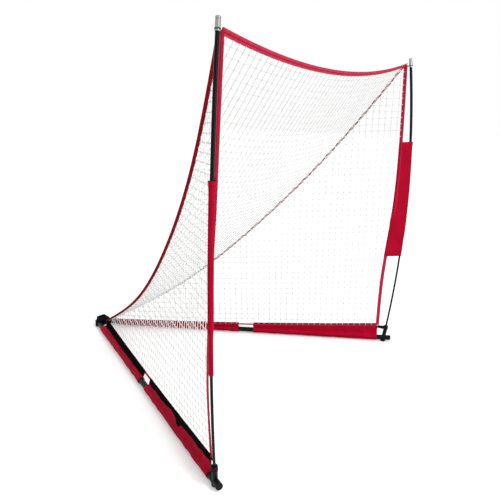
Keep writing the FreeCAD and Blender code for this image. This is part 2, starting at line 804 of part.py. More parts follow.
# Post sleeve: a loop round the pole and a flap that holds the net's front edge
def post_sleeve(side):
    low = POST_SLEEVE_LOW[side]
    inner = (UPPER_R + POST_SLEEVE_SLACK) / math.cos(math.pi / POST_SLEEVE_SIDES)
    half = TAPE / 2 + FLAP_PLY
    turn = math.asin(half / (inner + FABRIC))
    full = 2 * math.pi * (1 - 1 / POST_SLEEVE_SIDES)
    outside, bore = [], []
    for height in steps(low, low + POST_SLEEVE_HEIGHT, 7):
        pole = pole_at(height)
        edge = front_line((height - FRONT_POINTS[0].z) / (TOP_CORNER.z - FRONT_POINTS[0].z))
        reach = (edge - pole).Length
        towards = (edge - pole).normalize()
        sideways = UP.cross(towards) * half
        tip = pole + towards * (reach + POST_SLEEVE_PAST)
        loop = sleeve_ring(pole, towards, inner + FABRIC, turn, 2 * math.pi - turn)
        outside.append(loop + [tip - sideways, tip + sideways])
        bore.append(sleeve_ring(pole, towards, inner, 0, full))
    bore[0] = [point - UP for point in bore[0]]
    bore[-1] = [point + UP for point in bore[-1]]
    return faceted(outside).cut(faceted(bore))


# Elastic loop round the tip ferrule, with a tab to the net's top corner
def corner_loop():
    axis = Bow.direction(1)
    middle = TIP - axis * LOOP_BELOW_TIP
    inner = FERRULE_R + LOOP_SLACK
    towards = TOP_CORNER - middle
    towards = (towards - axis * towards.dot(axis)).normalize()
    reach = (TOP_CORNER - middle).dot(towards) - LOOP_TO_CORNER
    loop = cylinder(inner + STRAP, middle - axis * (LOOP_WIDTH / 2), axis, LOOP_WIDTH)
    tab = Part.makeBox(reach, STRAP, LOOP_WIDTH, Vector(0, -STRAP / 2, -LOOP_WIDTH / 2))
    tab.Placement = Placement(middle, Rotation(towards, axis.cross(towards), axis, "XYZ"))
    return loop.fuse(tab).cut(cylinder(inner, middle - axis * LOOP_WIDTH, axis, 2 * LOOP_WIDTH))


# Webbing round the socket under the bush's flange, with a tab to the net's lower front corner
def foot_strap():
    top = socket_point(FOOT_STRAP_TOP)
    middle = top - POLE_START * (FOOT_STRAP_WIDTH / 2)
    inner = SOCKET_R
    corner = FRONT_POINTS[0] - POLE_START * (FRONT_POINTS[0] - middle).dot(POLE_START)
    towards = (corner - middle).normalize()
    reach = (corner - middle).Length - FRONT_TAPE_WIDTH / 2
    low = middle - POLE_START * (FOOT_STRAP_WIDTH / 2)
    loop = cylinder(inner + STRAP, low, POLE_START, FOOT_STRAP_WIDTH)
    tab = Part.makeBox(reach, 2 * STRAP, FOOT_STRAP_WIDTH, Vector(0, -STRAP, -FOOT_STRAP_WIDTH / 2))
    tab.Placement = Placement(middle, Rotation(towards, POLE_START.cross(towards), POLE_START, "XYZ"))
    return loop.fuse(tab).cut(cylinder(inner, low - POLE_START, POLE_START, 2 * FOOT_STRAP_WIDTH))


def mirrored(shape):
    return shape.mirror(Vector(0, 0, 0), Vector(1, 0, 0))


MIDDLE_PIECES = {"apex_bracket": apex_bracket, "apex_strap": apex_strap}
SIDE_PIECES = {
    "pivot_bolt": pivot_bolt,
    "pivot_nut": pivot_nut,
    "rear_tube": rear_tube,
    "front_tube": front_tube,
    "pivot_bush": pivot_bush,
    "leg_end_cap": leg_end_cap,
    "pole_socket": pole_socket,
    "socket_bush": socket_bush,
    "rubber_foot": rubber_foot,
    "lower_rod": lower_rod,
    "pole_coupler": pole_coupler,
    "upper_tube": upper_tube,
    "tip_ferrule": tip_ferrule,
    "tip_cap": tip_cap,
    "rear_sleeve": rear_sleeve,
    "front_sleeve": front_sleeve,
    "rear_strip": rear_strip,
    "front_strip": front_strip,
    "bottom_hem": bottom_hem,
    "side_net": side_net,
    "back_net": back_net,
    "front_tape": front_tape,
    "seam_tape": seam_tape,
    "top_tape": top_tape,
    "corner_loop": corner_loop,
    "foot_strap": foot_strap,
}


def save(name, shape):
    if not shape.isValid() or shape.Volume <= 0:
        raise ValueError(name + " is not a valid solid")
    shape.exportStep("parts/" + name + ".step")


def main():
    os.makedirs("parts", exist_ok=True)
    for name, make in MIDDLE_PIECES.items():
        save(name, make())
    for name, make in SIDE_PIECES.items():
        shape = make()
        save("right_" + name, shape)
        save("left_" + name, mirrored(shape))
    save("right_post_sleeve", post_sleeve("right"))
    save("left_post_sleeve", mirrored(post_sleeve("left")))


main()
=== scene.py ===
import math

import bpy
import numpy as np
from mathutils import Matrix, Vector


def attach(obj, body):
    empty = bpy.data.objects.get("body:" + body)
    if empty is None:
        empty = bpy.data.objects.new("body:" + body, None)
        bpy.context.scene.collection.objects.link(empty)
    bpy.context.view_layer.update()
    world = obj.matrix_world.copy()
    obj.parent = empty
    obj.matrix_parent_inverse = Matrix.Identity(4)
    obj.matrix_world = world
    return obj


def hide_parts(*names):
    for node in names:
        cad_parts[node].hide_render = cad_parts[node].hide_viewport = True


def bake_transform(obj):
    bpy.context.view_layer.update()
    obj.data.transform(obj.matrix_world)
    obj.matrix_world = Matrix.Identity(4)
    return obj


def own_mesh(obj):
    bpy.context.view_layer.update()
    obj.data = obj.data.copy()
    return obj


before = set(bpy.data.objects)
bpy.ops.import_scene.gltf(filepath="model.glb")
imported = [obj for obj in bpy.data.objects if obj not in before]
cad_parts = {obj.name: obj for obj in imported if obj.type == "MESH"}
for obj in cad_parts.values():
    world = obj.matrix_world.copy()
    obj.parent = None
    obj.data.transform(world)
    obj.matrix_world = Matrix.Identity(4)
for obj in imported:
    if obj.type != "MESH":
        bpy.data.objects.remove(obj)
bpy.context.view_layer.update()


# Apex bracket: a channel of 3 mm mild steel with round ends, in which both base tubes turn.
# Pressed and powder coated black: a finely pebbled skin with dull, wide highlights.
def linear(code):
    """sRGB hex to linear: each channel c becomes ((c + 0.055) / 1.055) ** 2.4, or c / 12.92 in the dark."""
    parts = np.array([int(code[k:k + 2], 16) for k in (0, 2, 4)]) / 255
    light = np.where(parts > 0.04045, ((parts + 0.055) / 1.055) ** 2.4, parts / 12.92)
    return (*light.tolist(), 1.0)


def plug(tree, node, inputs):
    """Gives a node its inputs, by name or place: each is a number, a colour or the socket that feeds it."""
    for key, value in inputs.items():
        if isinstance(value, bpy.types.NodeSocket):
            tree.links.new(value, node.inputs[key])
        else:
            node.inputs[key].default_value = value


def add(tree, kind, inputs, output=0, **settings):
    """Adds a node with its settings and links, and returns one of its outputs."""
    made = tree.nodes.new("ShaderNode" + kind)
    for key, value in settings.items():
        setattr(made, key, value)
    plug(tree, made, inputs)
    return made.outputs[output]


def finish_of(name):
    """A new material, its node tree and its shader."""
    made = bpy.data.materials.new(name)
    made.use_nodes = True
    return made, made.node_tree, made.node_tree.nodes["Principled BSDF"]


def powder_coat(name, code, scuff, roughness):
    """Powder coat on steel: 0.9 mm orange peel, cloudy gloss, and faint rubbed specks of about 6 mm."""
    made, tree, shader = finish_of(name)
    place = add(tree, "TexCoord", {}, "Object")
    peel = add(tree, "TexNoise", {"Vector": place, "Scale": 1 / 0.0009, "Detail": 1.0})
    cloud = add(tree, "TexNoise", {"Vector": place, "Scale": 1 / 0.07, "Detail": 4.0})
    speck = add(tree, "TexNoise", {"Vector": place, "Scale": 1 / 0.006, "Detail": 5.0})
    worn = add(tree, "MapRange", {0: speck, 1: 0.66, 2: 0.74, 3: 0.0, 4: 0.7})
    plug(tree, shader, {
        "Base Color": add(tree, "Mix", {0: worn, 6: linear(code), 7: linear(scuff)}, 2, data_type="RGBA"),
        "Roughness": add(tree, "MapRange", {0: cloud, 1: 0.3, 2: 0.7, 3: roughness - 0.07, 4: roughness + 0.1}),
        "Normal": add(tree, "Bump", {"Height": peel, "Strength": 0.35, "Distance": 0.00006}),
        "Specular IOR Level": 0.13})
    return made


def dress(names, material):
    """Gives the CAD meshes of these nodes one material."""
    for name in names:
        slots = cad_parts[name].data.materials
        slots.clear()
        slots.append(material)


dress(["apex_bracket"], powder_coat("black_powder_coated_steel", "0b0c0d", "3a3b3d", 0.42))


# Pivot bolts, flanged nuts and welded bushes: carbon steel, black zinc plated.
# Rolled and plated, so they are metal with a dark, slightly cloudy lustre.
BAND = 2 * math.pi / 20    # a wave's own bands are this far apart at scale 1, and twice as far on the diagonal


def plated_steel(name, code, roughness, cloud_size):
    """Plated or bare metal: cloudy gloss at the size given, with turning marks every 1.1 mm round the axis."""
    made, tree, shader = finish_of(name)
    place = add(tree, "TexCoord", {}, "Object")
    cloud = add(tree, "TexNoise", {"Vector": place, "Scale": 1 / cloud_size, "Detail": 3.0})
    turning = {"Vector": place, "Scale": BAND / 0.0011, "Distortion": 1.5}
    marks = add(tree, "TexWave", turning, 1, bands_direction="Z")
    plug(tree, shader, {
        "Base Color": linear(code), "Metallic": 1.0,
        "Roughness": add(tree, "MapRange", {0: cloud, 1: 0.3, 2: 0.7, 3: roughness - 0.08, 4: roughness + 0.1}),
        "Normal": add(tree, "Bump", {"Height": marks, "Strength": 0.25, "Distance": 0.00004})})
    return made


SIDES = (("left", -1.0), ("right", 1.0))


def both(*parts):
    """The names of the left and the right node of each part."""
    return [side + "_" + part for side, _ in SIDES for part in parts]


BOLT_ZINC = plated_steel("black_zinc_plated_steel", "5d5e60", 0.36, 0.004)
dress(both("pivot_bolt", "pivot_nut", "pivot_bush"), BOLT_ZINC)


# Base tubes and pole sockets: 32 mm and 25 mm welded steel tube, powder coated black like the bracket.
# Each leg is two lengths; the front one is swaged down and plugs into the rear one.
TUBE_BLACK = powder_coat("black_powder_coated_tube", "08090a", "4a4b4d", 0.36)
dress(both("rear_tube", "front_tube", "pole_socket"), TUBE_BLACK)


# End caps, socket bushes and pole reducers: injection moulded black polyethylene and nylon.
# Spark-eroded mould texture, so the plastic is matt with a soft edge of light.
def moulded_plastic(name, code, roughness, grain):
    """Moulded plastic or rubber: mould grain of the size given and a faint flow mottling."""
    made, tree, shader = finish_of(name)
    place = add(tree, "TexCoord", {}, "Object")
    pits = add(tree, "TexNoise", {"Vector": place, "Scale": 1 / grain, "Detail": 2.0})
    flow = add(tree, "TexNoise", {"Vector": place, "Scale": 1 / 0.02, "Detail": 2.0})
    plug(tree, shader, {
        "Base Color": linear(code), "Specular IOR Level": 0.13,
        "Roughness": add(tree, "MapRange", {0: flow, 1: 0.3, 2: 0.7, 3: roughness - 0.05, 4: roughness + 0.08}),
        "Normal": add(tree, "Bump", {"Height": pits, "Strength": 0.4, "Distance": 0.00008})})
    return made


CAP_PLASTIC = moulded_plastic("black_moulded_polyethylene", "0b0c0d", 0.5, 0.0007)
dress(both("leg_end_cap", "socket_bush", "pole_coupler"), CAP_PLASTIC)


# Rubber feet: moulded black rubber cups pushed on under the sockets.
# Rubber is duller than the plastic.
dress(both("rubber_foot"), moulded_plastic("black_moulded_rubber", "0e0e0f", 0.68, 0.0012))


# Poles: a 12 mm pultruded glass fibre rod below and a 16.5 mm steel tube above, both gloss black.
# The rod's gelcoat shows fine lengthwise draw lines; the tube is smooth enamel over steel.
def drawn_gloss(name, code, roughness, line):
    """Gloss coat over drawn stock: draw lines of the given width that run up the pole, and cloudy gloss."""
    made, tree, shader = finish_of(name)
    place = add(tree, "TexCoord", {}, "Object")
    along = add(tree, "Mapping", {"Vector": place, "Scale": (1.0, 1.0, 0.02)})
    lines = add(tree, "TexNoise", {"Vector": along, "Scale": 1 / line, "Detail": 2.0})
    cloud = add(tree, "TexNoise", {"Vector": place, "Scale": 1 / 0.09, "Detail": 3.0})
    plug(tree, shader, {
        "Base Color": linear(code), "Specular IOR Level": 0.13,
        "Roughness": add(tree, "MapRange", {0: cloud, 1: 0.3, 2: 0.7, 3: roughness - 0.06, 4: roughness + 0.08}),
        "Normal": add(tree, "Bump", {"Height": lines, "Strength": 0.3, "Distance": 0.00005})})
    return made


dress(both("lower_rod"), drawn_gloss("black_gelcoat_glass_fibre", "020202", 0.26, 0.0008))
dress(both("upper_tube"), drawn_gloss("black_enamelled_steel", "020202", 0.2, 0.003))


# Pole tips: turned aluminium ferrule and cap with a groove between them for the net's loop.
# Turned and left bare, so it is a soft bright metal with fine rings.
dress(both("tip_ferrule", "tip_cap"), plated_steel("turned_aluminium", "9a9c96", 0.33, 0.012))


# Side nets: knotless white polyester netting on a 38 mm square, laced between the front binding,
# the seam and the hem of each side. Braided and heat set, so the cords are matt and thicker at each joint.
HALF_MOUTH = 915.0
POST_HEIGHT = 1810.0
POLE_STRAIGHT = 110.0
TIP = np.array([16.0, -41.0, POST_HEIGHT])
LEAN = np.array([0.172, -0.097, 1.0])
BOW_FORWARD = 72.0
BRACKET_R = 24.0
PIVOT_X = 22.0
TUBE_Z = 23.45
SPREAD = math.radians(27.08)
OUT = np.array([math.cos(SPREAD), math.sin(SPREAD), 0.0])
ALONG = np.array([math.sin(SPREAD), -math.cos(SPREAD), 0.0])
UP = np.array([0.0, 0.0, 1.0])
LEG_LENGTH = (HALF_MOUTH + LEAN[0] * TUBE_Z - PIVOT_X) / math.sin(SPREAD)
PIVOT = np.array([PIVOT_X, (LEG_LENGTH * math.cos(SPREAD) + BOW_FORWARD - BRACKET_R) / 2, 0.0])
FOOT = PIVOT + ALONG * LEG_LENGTH + LEAN * TUBE_Z * np.array([-1, -1, 0])
MESH = 38.0
CORD_R = 1.5
JOINT_R = 2.1
TUCK = 3.5                # a cord ends this far inside a binding
END_GAP = 0.004           # crossings nearer than this share to a cord's end are left out
ROW_GAP = 0.003           # and rows nearer than this to a column's end


def unit(vectors):
    return vectors / np.linalg.norm(vectors, axis=-1, keepdims=True)


def length_along(path):
    """Each point's distance from the start of its path."""
    return np.concatenate([[0], np.cumsum(np.linalg.norm(np.diff(path, axis=0), axis=1))])


def pole_line():
    """The pole's axis: straight along its lean, then a circle's arc that leaves it smoothly and ends at the tip."""
    lean = unit(LEAN)
    start = lean * POLE_STRAIGHT
    chord = TIP - start
    half = math.acos(chord @ lean / np.linalg.norm(chord))
    radius = np.linalg.norm(chord) / 2 / math.sin(half)
    inward = unit(chord - lean * (chord @ lean))
    turn = np.linspace(0, 2 * half, 300)[:, None]
    arc = start + inward * radius * (1 - np.cos(turn)) + lean * radius * np.sin(turn)
    return FOOT + np.vstack([np.zeros(3), arc])


def at_height(line, height):
    """Points of a rising line at the heights given."""
    return np.stack([np.interp(height, line[:, 2], line[:, k]) for k in range(3)], -1)


def smooth_line(points, count=400):
    """Natural cubic spline through the points, with the chord lengths as its parameter."""
    points = np.asarray(points, float)
    knots = length_along(points)
    step = np.diff(knots)
    size = len(points)
    matrix = np.eye(size)
    right = np.zeros((size, 3))
    for k in range(1, size - 1):
        matrix[k, k - 1:k + 2] = step[k - 1], 2 * (step[k - 1] + step[k]), step[k]
        right[k] = 6 * ((points[k + 1] - points[k]) / step[k] - (points[k] - points[k - 1]) / step[k - 1])
    bend = np.linalg.solve(matrix, right)
    at = np.linspace(0, knots[-1], count)
    k = np.clip(np.searchsorted(knots, at) - 1, 0, size - 2)
    h, a, b = step[k][:, None], (knots[k + 1] - at)[:, None], (at - knots[k])[:, None]
    return (bend[k] * a ** 3 + bend[k + 1] * b ** 3) / (6 * h) \
        + (points[k] / h - bend[k] * h / 6) * a + (points[k + 1] / h - bend[k + 1] * h / 6) * b


# FRONT rises from the pole's foot to its tip, beside the pole. SEAM rises from the apex to the tip and sags
# off the straight line: inwards, forwards and down, in mm, at three shares of its length.
POLE = pole_line()
EDGE_LOW = 112.0
EDGE_BELOW_TIP = 40.0
EDGE_SHARES = np.array([0.0, 0.203, 0.474, 0.745, 1.0])
EDGE_OFFSETS = np.array([(-40.0, 48.0), (-64.0, 71.5), (-68.5, 53.6), (-65.6, 36.9), (-42.0, 16.0)])
EDGE_HEIGHTS = EDGE_LOW + (POST_HEIGHT - EDGE_BELOW_TIP - EDGE_LOW) * EDGE_SHARES
FRONT = smooth_line(at_height(POLE, EDGE_HEIGHTS) + np.pad(EDGE_OFFSETS, ((0, 0), (0, 1))))
CORNER = FRONT[-1]
REAR_CORNER_X, REAR_CORNER_BACK, REAR_CORNER_Z = 19.0, 97.0, 58.0
REAR = np.array([REAR_CORNER_X, PIVOT[1] - REAR_CORNER_BACK, REAR_CORNER_Z])
SAG = np.array([(0.25, 45.0, 52.0, 135.0), (0.50, 51.0, 81.0, 156.0), (0.75, 31.0, 69.0, 99.0)])
SEAM = smooth_line(np.vstack([REAR, REAR + (CORNER - REAR) * SAG[:, :1] - SAG[:, 1:], CORNER]))
HEM_SAG = 12.0


def front(share):
    """The net's front edge at a share of its own height."""
    return at_height(FRONT, FRONT[0, 2] + (CORNER[2] - FRONT[0, 2]) * share)


def seam(share):
    """The seam of side and back at a share of its own height."""
    return at_height(SEAM, REAR[2] + (CORNER[2] - REAR[2]) * share)


def hem(across):
    """The lower edge: straight from the front corner to the rear corner, less a parabola as deep as its sag."""
    across = np.asarray(across)[..., None]
    return FRONT[0] * (1 - across) + REAR * across - UP * (4 * HEM_SAG) * across * (1 - across)


def slack(up, across):
    """How far the netting stands off its even surface: slow waves that die out at every edge."""
    still = np.sin(np.pi * np.clip(across, 0, 1)) * np.sin(np.pi * np.clip(up, 0, 1)) ** 0.7
    return still * (3.5 * np.sin(9.0 * up + 5.0 * across) + 2.5 * np.sin(17.0 * across - 6.0 * up + 1.0))


def side_panel(up, across):
    """(1 - t) F(s) + t S(s), and near the ground (1 - s) ** 4 of what the hem stands off that line."""
    up, across = np.broadcast_arrays(np.asarray(up, float), np.asarray(across, float))
    t = across[..., None]
    low = FRONT[0] * (1 - t) + REAR * t
    lift = (hem(across) - low) * (1 - up[..., None]) ** 4
    return front(up) * (1 - t) + seam(up) * t + lift + OUT * slack(up, across)[..., None]


def leg_distance(points):
    """How far along the leg the points are, from its pivot."""
    return (points - PIVOT) @ ALONG


def side_shares(up, distance):
    """Where a line at that distance along the leg crosses each row of the side net."""
    start, end = leg_distance(front(up)), leg_distance(seam(up))
    return (distance - start) / (end - start)


def crossings(shares, start=0.0):
    """A cord's stations: its start, every crossing inside the panel, its end, and a point between neighbours."""
    inside = np.sort(shares[(shares > start + END_GAP) & (shares < 1 - END_GAP)])
    ends = np.concatenate([[start], inside, [1.0]])
    return np.sort(np.concatenate([ends, (ends[1:] + ends[:-1]) / 2]))


def quads(rows, columns, closed=False):
    """Rows and columns of the corners of each face between rings of points, and the points' numbers.

    The last ring is joined to the first one where the grid is closed.
    """
    i, j = np.meshgrid(np.arange(rows if closed else rows - 1), np.arange(columns), indexing="ij")
    i, j = i.reshape(-1, 1) + [0, 0, 1, 1], j.reshape(-1, 1) + [0, 1, 1, 0]
    return i, j, i % rows * columns + j % columns


def braids(runs, normal, sides=5):
    """Tubes round many runs of points at once: each ring stands square to its run, thick at every second point.

    Returns points, faces and the UV of each face corner, in which U is the length along the cord.
    """
    points, faces, uvs, count = [], [], [], 0
    turn = np.linspace(0, 2 * np.pi, sides, endpoint=False)
    for run in runs:
        ahead = unit(np.gradient(run, axis=0))
        side = unit(np.cross(ahead, normal))
        face = np.cross(side, ahead)
        radius = np.where(np.arange(len(run)) % 2, CORD_R, JOINT_R)[:, None, None]
        ring = side[:, None] * np.cos(turn)[:, None] + face[:, None] * np.sin(turn)[:, None]
        points.append((run[:, None] + ring * radius).reshape(-1, 3))
        length = length_along(run)
        i, j, numbers = quads(len(run), sides)
        faces.append(count + numbers)
        uvs.append(np.stack([length[i], j * (2 * np.pi * CORD_R / sides)], -1))
        count += len(run) * sides
    return np.vstack(points), np.vstack(faces), np.vstack(uvs)


def build(name, sign, points, faces, uvs, material):
    """Puts arrays in millimetres into a closed mesh in metres; sign -1 makes the left one. Faces turn outwards."""
    points = points * np.array([sign, 1.0, 1.0]) * 0.001
    a, b, c, d = (points[faces[:, k]] for k in range(4))
    if (np.cross(b, c) * a).sum() + (np.cross(c, d) * a).sum() < 0:
        faces, uvs = faces[:, ::-1], uvs[:, ::-1]
    mesh = bpy.data.meshes.new(name)
    mesh.from_pydata(points.tolist(), [], faces.tolist())
    layer = mesh.uv_layers.new(name="cloth")
    layer.data.foreach_set("uv", (uvs * 0.001).reshape(-1).astype(np.float32))
    mesh.polygons.foreach_set("use_smooth", np.full(len(faces), True))
    mesh.materials.append(material)
    mesh.update()
    made = bpy.data.objects.new(name, mesh)
    bpy.context.scene.collection.objects.link(made)
    return made


def braided_cord(name, code, shade_and_soil, pitch):
    """Braided polyester: a diagonal plait at the given pitch, matt, with painted shade greying its grooves, and with
    soil.
    """
    made, tree, shader = finish_of(name)
    place = add(tree, "TexCoord", {}, "Object")
    uv = place.node.outputs["UV"]
    skew = add(tree, "Mapping", {"Vector": uv, "Rotation": (0.0, 0.0, math.radians(35))})
    plait = add(tree, "TexWave", {"Vector": skew, "Scale": BAND / pitch, "Distortion": 0.6}, 1)
    soil = add(tree, "TexNoise", {"Vector": place, "Scale": 9.0, "Detail": 4.0})
    # painted shade: the plait's grooves are mixed towards the shade colour
    groove = add(tree, "MapRange", {0: plait, 1: 0.0, 2: 1.0, 3: 0.55, 4: 0.0})
    soiled = add(tree, "MapRange", {0: soil, 1: 0.45, 2: 0.75, 3: 0.0, 4: 0.35})
    tone = add(tree, "Mix", {0: groove, 6: linear(code), 7: linear(shade_and_soil)}, 2, data_type="RGBA")
    plug(tree, shader, {
        "Base Color": add(tree, "Mix", {0: soiled, 6: tone, 7: linear(shade_and_soil)}, 2, data_type="RGBA"),
        "Normal": add(tree, "Bump", {"Height": plait, "Strength": 0.5, "Distance": 0.0002}),
        "Roughness": 0.8, "Subsurface Weight": 0.7, "Subsurface Radius": (1.0, 1.0, 1.0),
        "Subsurface Scale": 0.003})
    return made


def side_cords():
    """Rows are rulings of the panel at even heights, and end inside the front tape.

    Columns keep their distance along the leg.
    """
    rows = np.linspace(0, 1, round((CORNER[2] - FRONT[0, 2]) / MESH) + 1)
    columns = np.arange(leg_distance(REAR), leg_distance(FRONT).max() + MESH, MESH) + MESH / 3
    runs = []
    for up in rows[1:-1]:
        width = float(np.linalg.norm(seam(up) - front(up)))
        shares = crossings(side_shares(np.full(len(columns), up), columns), min(0.3, TUCK / width))
        runs.append(side_panel(np.full(len(shares), up), shares))
    fine = np.linspace(0, 1, 500)
    reach = leg_distance(seam(fine))
    for distance in columns:
        top = np.interp(distance, reach, fine)
        shares = side_shares(rows, distance)
        held = rows[(rows < top - ROW_GAP) & (shares > 0) & (shares < 1)]
        if len(held) > 1:
            ups = np.sort(np.concatenate([held, [top], (held[1:] + held[:-1]) / 2, [(held[-1] + top) / 2]]))
            runs.append(side_panel(ups, np.clip(side_shares(ups, distance), 0, 1)))
    return braids(runs, OUT)


def stand_for(node):
    """The piece is shown in place of the CAD node, which is hidden."""
    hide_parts(node)


def hang(side, sign, piece, mesh, material, node):
    """Cloth that rides its own leg, in place of the CAD node it stands for."""
    made = build(side + "_" + piece, sign, *mesh, material)
    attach(made, side + "_leg")
    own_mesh(made)
    stand_for(side + "_" + node)
    return made


# cbcfcc is the colour of both the painted groove shade and the soil.
NET_WHITE = braided_cord("white_braided_polyester", "eceeec", "cbcfcc", 0.0022)
for side, sign in SIDES:
    hang(side, sign, "side_netting", side_cords(), NET_WHITE, "side_net")


# Back net: the same netting, hung between the two seams and the top binding.
# It is one panel on the real goal; here each half goes with its own leg.
SLOPE = unit(np.array([0.0, CORNER[1] - REAR[1], CORNER[2] - REAR[2]]))
BACK_OUT = np.array([0.0, -SLOPE[2], SLOPE[1]]) * -1.0
TOP_SAG = 90.0
ROWS_END = 14.0           # the last row lies this far below the top edge, under its binding


def back_panel(up, across):
    """Rows hang between the seams as parabolas, whose sag falls from that of the top with the width squared."""
    up, across = np.broadcast_arrays(np.asarray(up, float), np.asarray(across, float))
    edge = seam(up)
    sag = TOP_SAG * (edge[..., 0] / CORNER[0]) ** 2 * (1 - across ** 2)
    loose = 5.0 * np.sin(8.0 * up) * np.cos(np.pi / 2 * across) * np.sin(np.pi * up)
    point = np.stack([edge[..., 0] * across, edge[..., 1], edge[..., 2] - sag], -1)
    return point + BACK_OUT * loose[..., None]


def back_cords():
    """Rows are a mesh apart along the slope; columns are a mesh apart across the goal, half a mesh off its middle."""
    fine = np.linspace(0, 1, 600)
    edge = seam(fine)
    fall = np.concatenate([[0], np.cumsum(np.hypot(np.diff(edge[:, 1]), np.diff(edge[:, 2])))])
    rows = np.interp(np.arange(MESH, fall[-1] - ROWS_END, MESH), fall, fine)
    columns = np.arange(MESH / 2, CORNER[0], MESH)
    runs = []
    for up in rows:
        width = seam(up)[0]
        if width > MESH / 2:
            shares = crossings(columns / width)
            runs.append(back_panel(np.full(len(shares), up), shares))
    for x in columns:
        foot = np.interp(x, edge[:, 0], fine)
        held = rows[rows > foot + ROW_GAP]
        if len(held) > 1:
            ends = np.concatenate([[foot], held, [1 - TUCK / fall[-1]]])
            ups = np.sort(np.concatenate([ends, (ends[1:] + ends[:-1]) / 2]))
            runs.append(back_panel(ups, np.clip(x / seam(ups)[:, 0], 0, 1)))
    return braids(runs, BACK_OUT)


for side, sign in SIDES:
    hang(side, sign, "back_netting", back_cords(), NET_WHITE, "back_net")


# Bindings: red polyester tape folded over the net's edges and stitched down the middle.
# Woven grosgrain: fine ribs across, a sunk row of stitches, and two soft rolls of cloth either side of it, with their
# shade painted into the sunk middle and the edges.
RING = 9                  # points on each face of a ribbon's section


def ribbon(path, across, normal, low, high, thick, valley=0.5, pucker=0.4, wander=0.4, bend=None):
    """A flat roll carried along a path: thickness falls to nothing at both edges and dips along the stitch line.

    Half thickness at x in -1..1 is thick / 2 * (1 - x ** 6) ** 0.5 * (1 - valley * exp(-(x / 0.16) ** 2)).
    The low edge wanders by two sines of the length whose size comes and goes. What lies past the path can follow
    a direction of its own.
    """
    x = -np.cos(np.linspace(0, np.pi, RING))
    half = thick / 2 * np.sqrt(1 - x ** 6) * (1 - valley * np.exp(-(x / 0.16) ** 2))
    half[[0, -1]] = 0.12
    x = np.concatenate([x, x[::-1]])
    half = np.concatenate([half, -half[::-1]])
    length = length_along(path)
    swell = 1 + 0.12 * pucker * np.sin(length / 2.7) + 0.15 * pucker * np.sin(length / 7.9 + 1.0)
    uneven = 0.55 + 0.45 * np.sin(length / 71.0 + 1.3 * np.sin(length / 213.0))
    waves = 0.7 * np.sin(length / 23.0 + 2.2 * np.sin(length / 61.0)) + 0.3 * np.sin(length / 9.0 + 2.0)
    drift = wander * uneven * waves
    low = np.broadcast_to(low, length.shape)[:, None]
    offset = (low + high) / 2 + x * (high - low) / 2 + drift[:, None] * (0.65 - 0.35 * x)
    lay = across[:, None] * offset[..., None]
    if bend is not None:
        lay = np.where(offset[..., None] > 0, bend[:, None] * offset[..., None], lay)
    grid = path[:, None] + lay + normal[:, None] * (half * swell[:, None])[..., None]
    return grid, length, x * (high - float(low.mean())) / 2


def run_of(path):
    """A path's length in metres."""
    return float(np.linalg.norm(np.diff(path, axis=0), axis=1).sum()) * 0.001


def rolled_mesh(grid, length, offset):
    """Faces and UVs of rings that follow one another, with both ends closed by folding the last ring flat."""
    rows, columns = grid.shape[:2]
    first, last = (np.broadcast_to(point, (1, columns, 3)) for point in grid[[0, -1]].mean(1))
    grid = np.concatenate([first, grid, last])
    length = np.concatenate([length[:1], length, length[-1:]])
    i, j, faces = quads(rows + 2, columns)
    return grid.reshape(-1, 3), faces, np.stack([length[i], offset[j % columns]], -1)


def grosgrain(name, code, deep, stitch, half_width, groove, gloss):
    """Woven tape: ribs across it every 1.2 mm, a sunk lockstitch down the middle, and painted shade across the sunk
    middle and towards both edges.

    The stitches are 3 mm long on a 4 mm pitch and 0.9 mm wide, a little over their real width so that they show.
    """
    made, tree, shader = finish_of(name)
    uv = add(tree, "TexCoord", {}, "UV")
    along, across = add(tree, "SeparateXYZ", {0: uv}).node.outputs[:2]
    ribs = add(tree, "TexWave", {"Vector": uv, "Scale": BAND / 0.0012, "Distortion": 0.3}, 1)
    tread = add(tree, "Math", {0: along, 1: 0.004}, operation="MODULO")
    dash = add(tree, "Math", {0: tread, 1: 0.003}, operation="LESS_THAN")
    off = add(tree, "Math", {0: across}, operation="ABSOLUTE")
    narrow = add(tree, "Math", {0: off, 1: 0.00045}, operation="LESS_THAN")
    thread = add(tree, "Math", {0: dash, 1: narrow}, operation="MULTIPLY")
    raised = add(tree, "Math", {0: thread, 1: 1.6}, operation="MULTIPLY")
    height = add(tree, "Math", {0: ribs, 1: raised}, operation="ADD")
    # painted shade: darker across the sunk middle, wider than the thread itself, and towards both edges
    sunk = add(tree, "MapRange", {0: off, 1: groove * 0.4, 2: groove, 3: 0.9, 4: 0.0})
    edge_shade = add(tree, "MapRange", {0: off, 1: half_width - 0.0035, 2: half_width - 0.001, 3: 0.0, 4: 0.8})
    dark = add(tree, "Math", {0: sunk, 1: edge_shade}, operation="MAXIMUM")
    wear = add(tree, "TexNoise", {"Vector": uv, "Scale": 1 / 0.03, "Detail": 4.0})
    worn = add(tree, "MapRange", {0: wear, 1: 0.35, 2: 0.7, 3: 0.0, 4: 0.5})
    tone = add(tree, "Mix", {0: worn, 6: linear(code), 7: linear(deep)}, 2, data_type="RGBA")
    tone = add(tree, "Mix", {0: dark, 6: tone, 7: linear(deep)}, 2, data_type="RGBA")
    plug(tree, shader, {
        "Base Color": add(tree, "Mix", {0: thread, 6: tone, 7: linear(stitch)}, 2, data_type="RGBA"),
        "Normal": add(tree, "Bump", {"Height": height, "Strength": 0.5, "Distance": 0.00025}),
        "Roughness": 0.74, "Specular IOR Level": gloss, "Sheen Weight": gloss / 2, "Sheen Roughness": 0.45,
        "Sheen Tint": linear("ff8aa0")})
    return made


